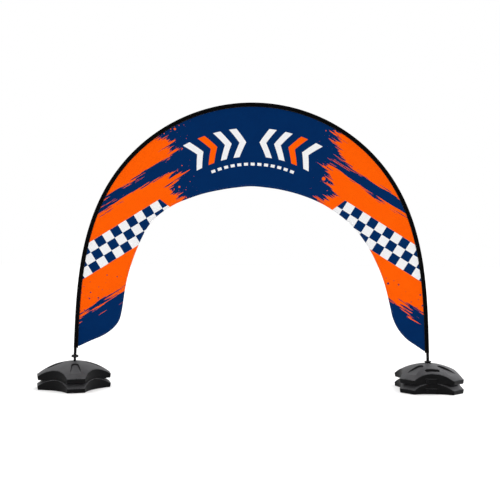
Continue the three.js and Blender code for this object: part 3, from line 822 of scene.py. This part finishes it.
corner_run = CORNER_ROWS[0][0]
band_along = np.unique(np.concatenate([
    spaced(band_start, band_start + corner_run, BAND_CORNER_STEP),
    spaced(band_start + corner_run, band_end - corner_run, BAND_STEP),
    spaced(band_end - corner_run, band_end, BAND_CORNER_STEP),
]))[:, None]
free_depth = band_depth(band_along)
hem_start = np.maximum(hem_line(band_along, HEM_WIDTH), (FLAT_DEPTH + free_depth) / 2)
field = FLAT_DEPTH + (hem_start - FLAT_DEPTH) * np.linspace(0, 1, BAND_COLUMNS)
hem_step = np.minimum(HEM_STEP, (free_depth - hem_start) / 3)
hem_middle = (hem_start + free_depth) / 2
hem_columns = [hem_start + hem_step, hem_middle, free_depth - HEM_ROUND, free_depth]
column_depth = np.concatenate([np.full(band_along.shape, CLOTH_EDGE), field, *hem_columns], 1)
half_cloth = np.full(column_depth.shape[1], CLOTH_HALF)
half_cloth[-len(hem_columns):] = HEM_HALF
half_cloth[-1] = HEM_EDGE_HALF
column_lean = band_lean(band_along, column_depth, free_depth)
ring_depth = np.concatenate([column_depth, column_depth[:, ::-1]], 1)
ring_back = np.concatenate([column_lean - half_cloth, (column_lean + half_cloth)[:, ::-1]], 1)
band = skin("printed_band", across_line(band_along, ring_depth, ring_back), 60)
stored(band, along=band_along + ring_depth * 0, depth=ring_depth)

DYE_NAVY = (0.0006, 0.0222, 0.099, 1)
DYE_DEEP = (0.0004, 0.0172, 0.084, 1)
DYE_ORANGE = (0.85, 0.088, 0.0008, 1)
DYE_BRIGHT = (0.89, 0.108, 0.0012, 1)
DYE_WHITE = (0.76, 0.76, 0.77, 1)
PRINT_SOFT = 0.002
CELL_SOFT = 0.01
NAVY_REACH = 1.02
NAVY_SLANT = 0.45
NAVY_FADE = 0.62
STROKE_FALL = math.radians(32)
STREAK_CONTRAST = 3.0
STREAK_SOFT = 0.015
TIP_SIDE = 1.58
TIP_FADE = 0.34
BUNDLE_SIDE = 2.46
BUNDLE_HALF = 0.11
BUNDLE_FULL = 0.72
LOOSE_STREAKS = 0.24
LOOSE_FADE = 0.5
CHEQUER_SIZE = 0.098
CHEQUER_SIDE = 1.90
CHEQUER_ROWS = 3
CHEQUER_START = 1.60
CHEVRON_DEPTH = 0.40
CHEVRON_HALF = 0.15
CHEVRON_PITCH = 0.20
CHEVRON_SLANT = 0.75
CHEVRON_FIRST = 0.09
CHEVRON_COUNT = 4
CHEVRON_SHARE = 0.46
CHEVRON_GAP = 0.25
DASH_DEPTH = 0.63
DASH_HALF = 0.015
DASH_PITCH = 0.11
DASH_SHARE = 0.6
DASH_REACH = 0.70
KNIT_WALE = 0.0016
KNIT_COURSE = 0.0013
KNIT_SHADE = 0.24
KNIT_MEAN = 0.52

# Brush streaks, coarse to fine: share of the paint, scale along the stroke, scale across it, noise detail
STREAKS = [(0.42, 1.4, 8.0, 3.0), (0.34, 2.6, 32.0, 2.0), (0.24, 5.0, 105.0, 2.0)]

# Spatter, large drops to small: cells to the metre, share of its cell that the largest drop fills
DROP_SIZES = [(9.0, 0.34), (18.0, 0.36), (36.0, 0.30)]
DROP_SOFT = (-0.01, 0.03)
BARED_RANGE = (1.25, 0.6)
SPLASH_RANGE = (-0.7, 0.4)

knit, knit_shader = new_finish(
    "printed_knit", {"Specular IOR Level": 0.015, "Sheen Weight": 0.002, "Sheen Roughness": 0.5})
band_run = knit_shader.read("along")
from_edge = knit_shader.read("depth")
from_crown = abs(band_run)
right_leg = band_run.step(-PRINT_SOFT / 2, PRINT_SOFT / 2)
across = knit_shader.node("SeparateXYZ", {}, {0: knit_shader.place()})
upright = across.tap("Z")
from_middle = abs(across - ARCH_MIDDLE)

# The brush strokes fall outwards on both legs: distances along a stroke and across it
stroke_run = from_middle * math.cos(STROKE_FALL) - upright * math.sin(STROKE_FALL)
stroke_side = from_middle * math.sin(STROKE_FALL) + upright * math.cos(STROKE_FALL)


def bristles(run_scale, side_scale, detail):
    """Paint drawn out by a brush: long streaks, fine across, different on each leg."""
    spot = {
        "X": stroke_run * run_scale + right_leg * 5.3,
        "Y": stroke_side * side_scale,
        "Z": right_leg * 3.7,
    }
    return knit_shader.noise(knit_shader.node("CombineXYZ", {}, spot), scale=1.0, detail=detail)


def covered(streak, amount):
    """1 where a streak still holds paint, with the amount of paint from 0, none, to 1, solid."""
    return (amount - streak).step(-STREAK_SOFT, STREAK_SOFT)


def printed_strip(value, low, high, soft=PRINT_SOFT):
    """1 where the value is between low and high."""
    return value.step(low - soft, low + soft) * value.step(high + soft, high - soft)


def drops(amount):
    """Round drops of spattered paint, larger and thicker where there is more of it."""
    spread = 0
    for scale, radius in DROP_SIZES:
        flat = knit_shader.node("CombineXYZ", {}, {"X": from_middle, "Y": upright, "Z": right_leg})
        cell = knit_shader.node("TexVoronoi", {"voronoi_dimensions": "3D"}, {"Vector": flat, "Scale": scale})
        size = cell.tap("Color").math("POWER", 2.0) * amount * radius
        spread = (size - cell).step(*DROP_SOFT).math("MAXIMUM", spread)
    return spread


def knit_loops(wales, courses):
    """Height of a plain knit: columns of slanted loops, 1 on top of the yarn and 0 in the gaps by it."""
    side = abs((wales * (1 / KNIT_WALE)).math("FRACT") - 0.5)
    turn = (courses * (1 / KNIT_COURSE) + side).math("FRACT")
    yarn = 1 - abs(turn - 0.5) * 2
    return yarn.step(0.05, 0.75) * side.step(0.5, 0.36)


# Navy paint: the crown with bared drops, the tips with splashed ones, and a bundle of streaks between
streak = sum((bristles(*brush) * share for share, *brush in STREAKS), -0.5) * STREAK_CONTRAST + 0.5
crown_amount = (NAVY_REACH - from_crown + from_edge * NAVY_SLANT) * (1 / NAVY_FADE) + 0.5
crown = covered(streak, crown_amount) * (1 - drops(crown_amount.step(*BARED_RANGE)))
tip_amount = (TIP_SIDE - stroke_side) * (1 / TIP_FADE) + 0.5
tip = covered(streak, tip_amount).math("MAXIMUM", drops(tip_amount.step(*SPLASH_RANGE)))
beside = abs(stroke_side - BUNDLE_SIDE)
bundle_amount = BUNDLE_FULL - beside * (0.5 / BUNDLE_HALF)
bundle = covered(streak, bundle_amount.math("MAXIMUM", LOOSE_STREAKS - beside * LOOSE_FADE))
navy = crown.math("MAXIMUM", tip).math("MAXIMUM", bundle)

# One chequered strip across each leg, in line with the strokes
chequer_row = (stroke_side - CHEQUER_SIDE) * (1 / CHEQUER_SIZE)
squares = chequer_row.math("FLOOR") + (stroke_run * (1 / CHEQUER_SIZE)).math("FLOOR")
chequer = (squares * 0.5).math("FRACT") * 2
on_leg = from_crown.step(CHEQUER_START, CHEQUER_START + CELL_SOFT)
in_chequer = printed_strip(chequer_row, 0.0, float(CHEQUER_ROWS), 2 * CELL_SOFT) * on_leg

# Chevrons that point to the crown from both sides, every third one orange, over a row of dashes
chevron_run = from_crown - abs(from_edge - CHEVRON_DEPTH) * CHEVRON_SLANT - CHEVRON_FIRST
chevron_cell = chevron_run * (1 / CHEVRON_PITCH)
in_row = printed_strip(from_edge, CHEVRON_DEPTH - CHEVRON_HALF, CHEVRON_DEPTH + CHEVRON_HALF)
in_count = printed_strip(chevron_cell, 0.0, CHEVRON_COUNT - CHEVRON_GAP, CELL_SOFT / 2)
bar = chevron_cell.math("FRACT").step(CHEVRON_SHARE + CELL_SOFT, CHEVRON_SHARE - CELL_SOFT)
chevron = in_row * in_count * bar
not_third = ((chevron_cell.math("FLOOR") + 1.0) * (1 / 3)).math("FRACT").step(0.1, 0.2)
in_dashes = printed_strip(from_edge, DASH_DEPTH - DASH_HALF, DASH_DEPTH + DASH_HALF)
in_dashes = in_dashes * from_crown.step(DASH_REACH + CELL_SOFT, DASH_REACH)
dash_cell = from_crown * (1 / DASH_PITCH) + DASH_SHARE / 2
dash = in_dashes * dash_cell.math("FRACT").step(DASH_SHARE + CELL_SOFT, DASH_SHARE - CELL_SOFT)

cloud = knit_shader.noise(knit_shader.place(), scale=5.0, detail=3.0)
navy_dye = cloud.mix(DYE_DEEP, DYE_NAVY)
orange_dye = cloud.mix(DYE_ORANGE, DYE_BRIGHT)
print_colour = navy.mix(orange_dye, navy_dye)
print_colour = in_chequer.mix(print_colour, chequer.mix(DYE_WHITE, navy_dye))
print_colour = chevron.mix(print_colour, not_third.mix(orange_dye, DYE_WHITE))
print_colour = dash.mix(print_colour, DYE_WHITE)

# The cloth's grain runs straight up and down, and the gaps between the loops are painted darker as painted
# shade
loops = knit_loops(across, upright)
painted_gap_shade = loops * KNIT_SHADE + (1 - KNIT_SHADE * KNIT_MEAN)
knit_shader.feed({
    "Base Color": knit_shader.node("VectorMath", {"operation": "SCALE"}, {0: print_colour, "Scale": painted_gap_shade}),
    "Roughness": 0.62 + cloud * 0.15,
    "Normal": knit_shader.bump(loops * 0.8 + cloud, distance=0.0004, strength=0.4),
})
dress(band, knit, "band", "flag_panel")

# Stitching: lockstitch in black thread, twin rows through the sleeve's tails and the band,
# and twin rows round the hem of the band's free edge, on both faces.
STITCH_LENGTH = 0.0042
STITCH_PITCH = 0.0062
STITCH_HALF = 0.0005
STITCH_PROUD = 0.0006
STITCH_FULL = 0.55
SEAM_STEP = 0.002
SLEEVE_SEAMS = (0.0228, 0.0270)
HEM_SEAMS = (0.006, 0.017)
THREAD_DARK = (0.006, 0.006, 0.007, 1)
THREAD_PALE = (0.03, 0.03, 0.032, 1)

# One stitch: its start, then left, top and right where it gets full and where it thins again, then its end
STITCH_POINTS = 8
STITCH_FACES = [
    (0, 1, 2), (0, 2, 3), (0, 3, 1),
    (1, 4, 5, 2), (2, 5, 6, 3), (3, 6, 4, 1),
    (7, 5, 4), (7, 6, 5), (7, 4, 6),
]


def seam_stitches(along, depth, back, face):
    """Points of even stitches along a seam's line, raised from one face of the cloth."""
    line = across_line(along, depth, back)
    gone = np.append(0, np.cumsum(np.linalg.norm(np.diff(line, axis=0), axis=1)))
    middle = np.arange(STITCH_PITCH, gone[-1] - STITCH_PITCH, STITCH_PITCH)
    full = STITCH_FULL * STITCH_LENGTH / 2
    start, thick, thin, end = (
        np.stack([np.interp(middle + ahead, gone, way) for way in line.T], -1)
        for ahead in (-STITCH_LENGTH / 2, -full, full, STITCH_LENGTH / 2)
    )
    aside = np.cross(end - start, (0, 1, 0)) * (STITCH_HALF / STITCH_LENGTH)
    proud = np.array((0, face * STITCH_PROUD, 0))
    body = [spot + way for spot in (thick, thin) for way in (-aside, proud, aside)]
    return np.stack([start, *body, end], 1)


def stitching(name, seams):
    """All stitches of some seams as one piece of thread."""
    points = np.concatenate([seam_stitches(*seam) for seam in seams])
    first = STITCH_POINTS * np.arange(len(points))
    faces = [[corner + start for corner in face] for start in first.tolist() for face in STITCH_FACES]
    return meshed(name, points, faces, 180)


thread, thread_shader = new_finish("black_thread", {"Specular IOR Level": 0.4, "Sheen Weight": 0.2})
ply = thread_shader.noise(thread_shader.place(), scale=2600.0, detail=2.0)
thread_shader.feed({"Base Color": ply.mix(THREAD_DARK, THREAD_PALE), "Roughness": 0.45 + ply * 0.2})
seam_along = spaced(band_start, band_end, SEAM_STEP)
hem_along = seam_along[band_depth(seam_along) > FLAT_DEPTH + 2 * HEM_WIDTH]
seams = {"sleeve_stitching": [], "hem_stitching": []}
for face in (-1, 1):
    for seam_depth in SLEEVE_SEAMS:
        seams["sleeve_stitching"].append((seam_along, seam_depth, face * TAIL_OUTSIDE, face))
    for seam_inset in HEM_SEAMS:
        seam_depth = hem_line(hem_along, seam_inset)
        seam_back = band_lean(hem_along, seam_depth, band_depth(hem_along)) + face * HEM_HALF
        seams["hem_stitching"].append((hem_along, seam_depth, seam_back, face))
for name, rows in seams.items():
    seam = stitching(name, rows)
    seam.data.materials.append(thread)
    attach(seam, "root")

# Studio: a plain pale floor under soft even light, and a level camera straight in front of the arch.
# The camera stands at about a walker's height, with the very slight roll of the picture.
FLOOR_SIZE = 120.0
SENSOR = 36.0
FRAME_PIXELS = 500
FOCAL_PIXELS = 777
CAMERA_BACK = 8.1585
CAMERA_HEIGHT = 1.451
CAMERA_ASIDE = -0.022
CAMERA_ROLL = math.radians(0.4)
FLOOR_PAINT = (0.78, 0.78, 0.78, 1)
SKY_WHITE = (1, 1, 1, 1)
SKY_RIM = 0.15
SKY_GLOW = 2.2

floor_mesh = bpy.data.meshes.new("floor")
floor_corners = [(-1, -1), (1, -1), (1, 1), (-1, 1)]
floor_points = [(x * FLOOR_SIZE / 2, y * FLOOR_SIZE / 2, 0) for x, y in floor_corners]
floor_mesh.from_pydata(floor_points, [], [(0, 1, 2, 3)])
floor = bpy.data.objects.new("floor", floor_mesh)
bpy.context.scene.collection.objects.link(floor)
floor_paint = new_finish("pale_floor", {"Base Color": FLOOR_PAINT, "Roughness": 0.9})[0]
floor_mesh.materials.append(floor_paint)

# The light grows towards the zenith, and the backdrop that the camera sees is plain white
world = bpy.data.worlds.new("soft_studio")
world.use_nodes = True
sky = Wire(world.node_tree.nodes["Background"].outputs[0])
rise = sky.node("SeparateXYZ", {}, {0: sky.node("TexCoord", output="Generated")}, output="Z")
sky.feed({"Color": SKY_WHITE, "Strength": SKY_RIM + rise.math("MAXIMUM", 0.0) * SKY_GLOW})
backdrop = sky.node("Background", {}, {"Color": SKY_WHITE, "Strength": 1.0})
seen = sky.node("LightPath", output="Is Camera Ray")
shown = sky.node("MixShader", {}, {0: seen, 1: sky, 2: backdrop})
world.node_tree.links.new(shown.socket, world.node_tree.nodes["World Output"].inputs["Surface"])
bpy.context.scene.world = world


def soft_light(name, place, target, size, power, spread=180, mirrored=True):
    """A square area light aimed at a point; one that isn't mirrored leaves no highlight of its own."""
    lamp = bpy.data.lights.new(name, "AREA")
    lamp.size = size
    lamp.energy = power
    lamp.spread = math.radians(spread)
    light = bpy.data.objects.new(name, lamp)
    light.location = place
    light.rotation_euler = (Vector(target) - Vector(place)).to_track_quat("-Z", "Y").to_euler()
    light.visible_glossy = mirrored
    bpy.context.scene.collection.objects.link(light)


soft_light("overhead_softbox", place=(-1.5, 2.5, 6.0), target=(0, 0, 0.4), size=4.0, power=60)
soft_light(
    "side_softbox", place=(4.3, 0.2, 0.9), target=(2.02, 0, 0.2), size=0.5, power=5,
    spread=24, mirrored=False)

lens = bpy.data.cameras.new("camera")
lens.sensor_width = SENSOR
lens.lens = FOCAL_PIXELS * SENSOR / FRAME_PIXELS
camera = bpy.data.objects.new("camera", lens)
camera.location = (ARCH_MIDDLE + CAMERA_ASIDE, -CAMERA_BACK, CAMERA_HEIGHT)
level_view = Euler((math.pi / 2, 0, 0)).to_matrix()
camera.rotation_euler = (level_view @ Euler((0, 0, CAMERA_ROLL)).to_matrix()).to_euler()
bpy.context.scene.collection.objects.link(camera)
bpy.context.scene.camera = camera
bpy.context.scene.view_settings.view_transform = "Standard"
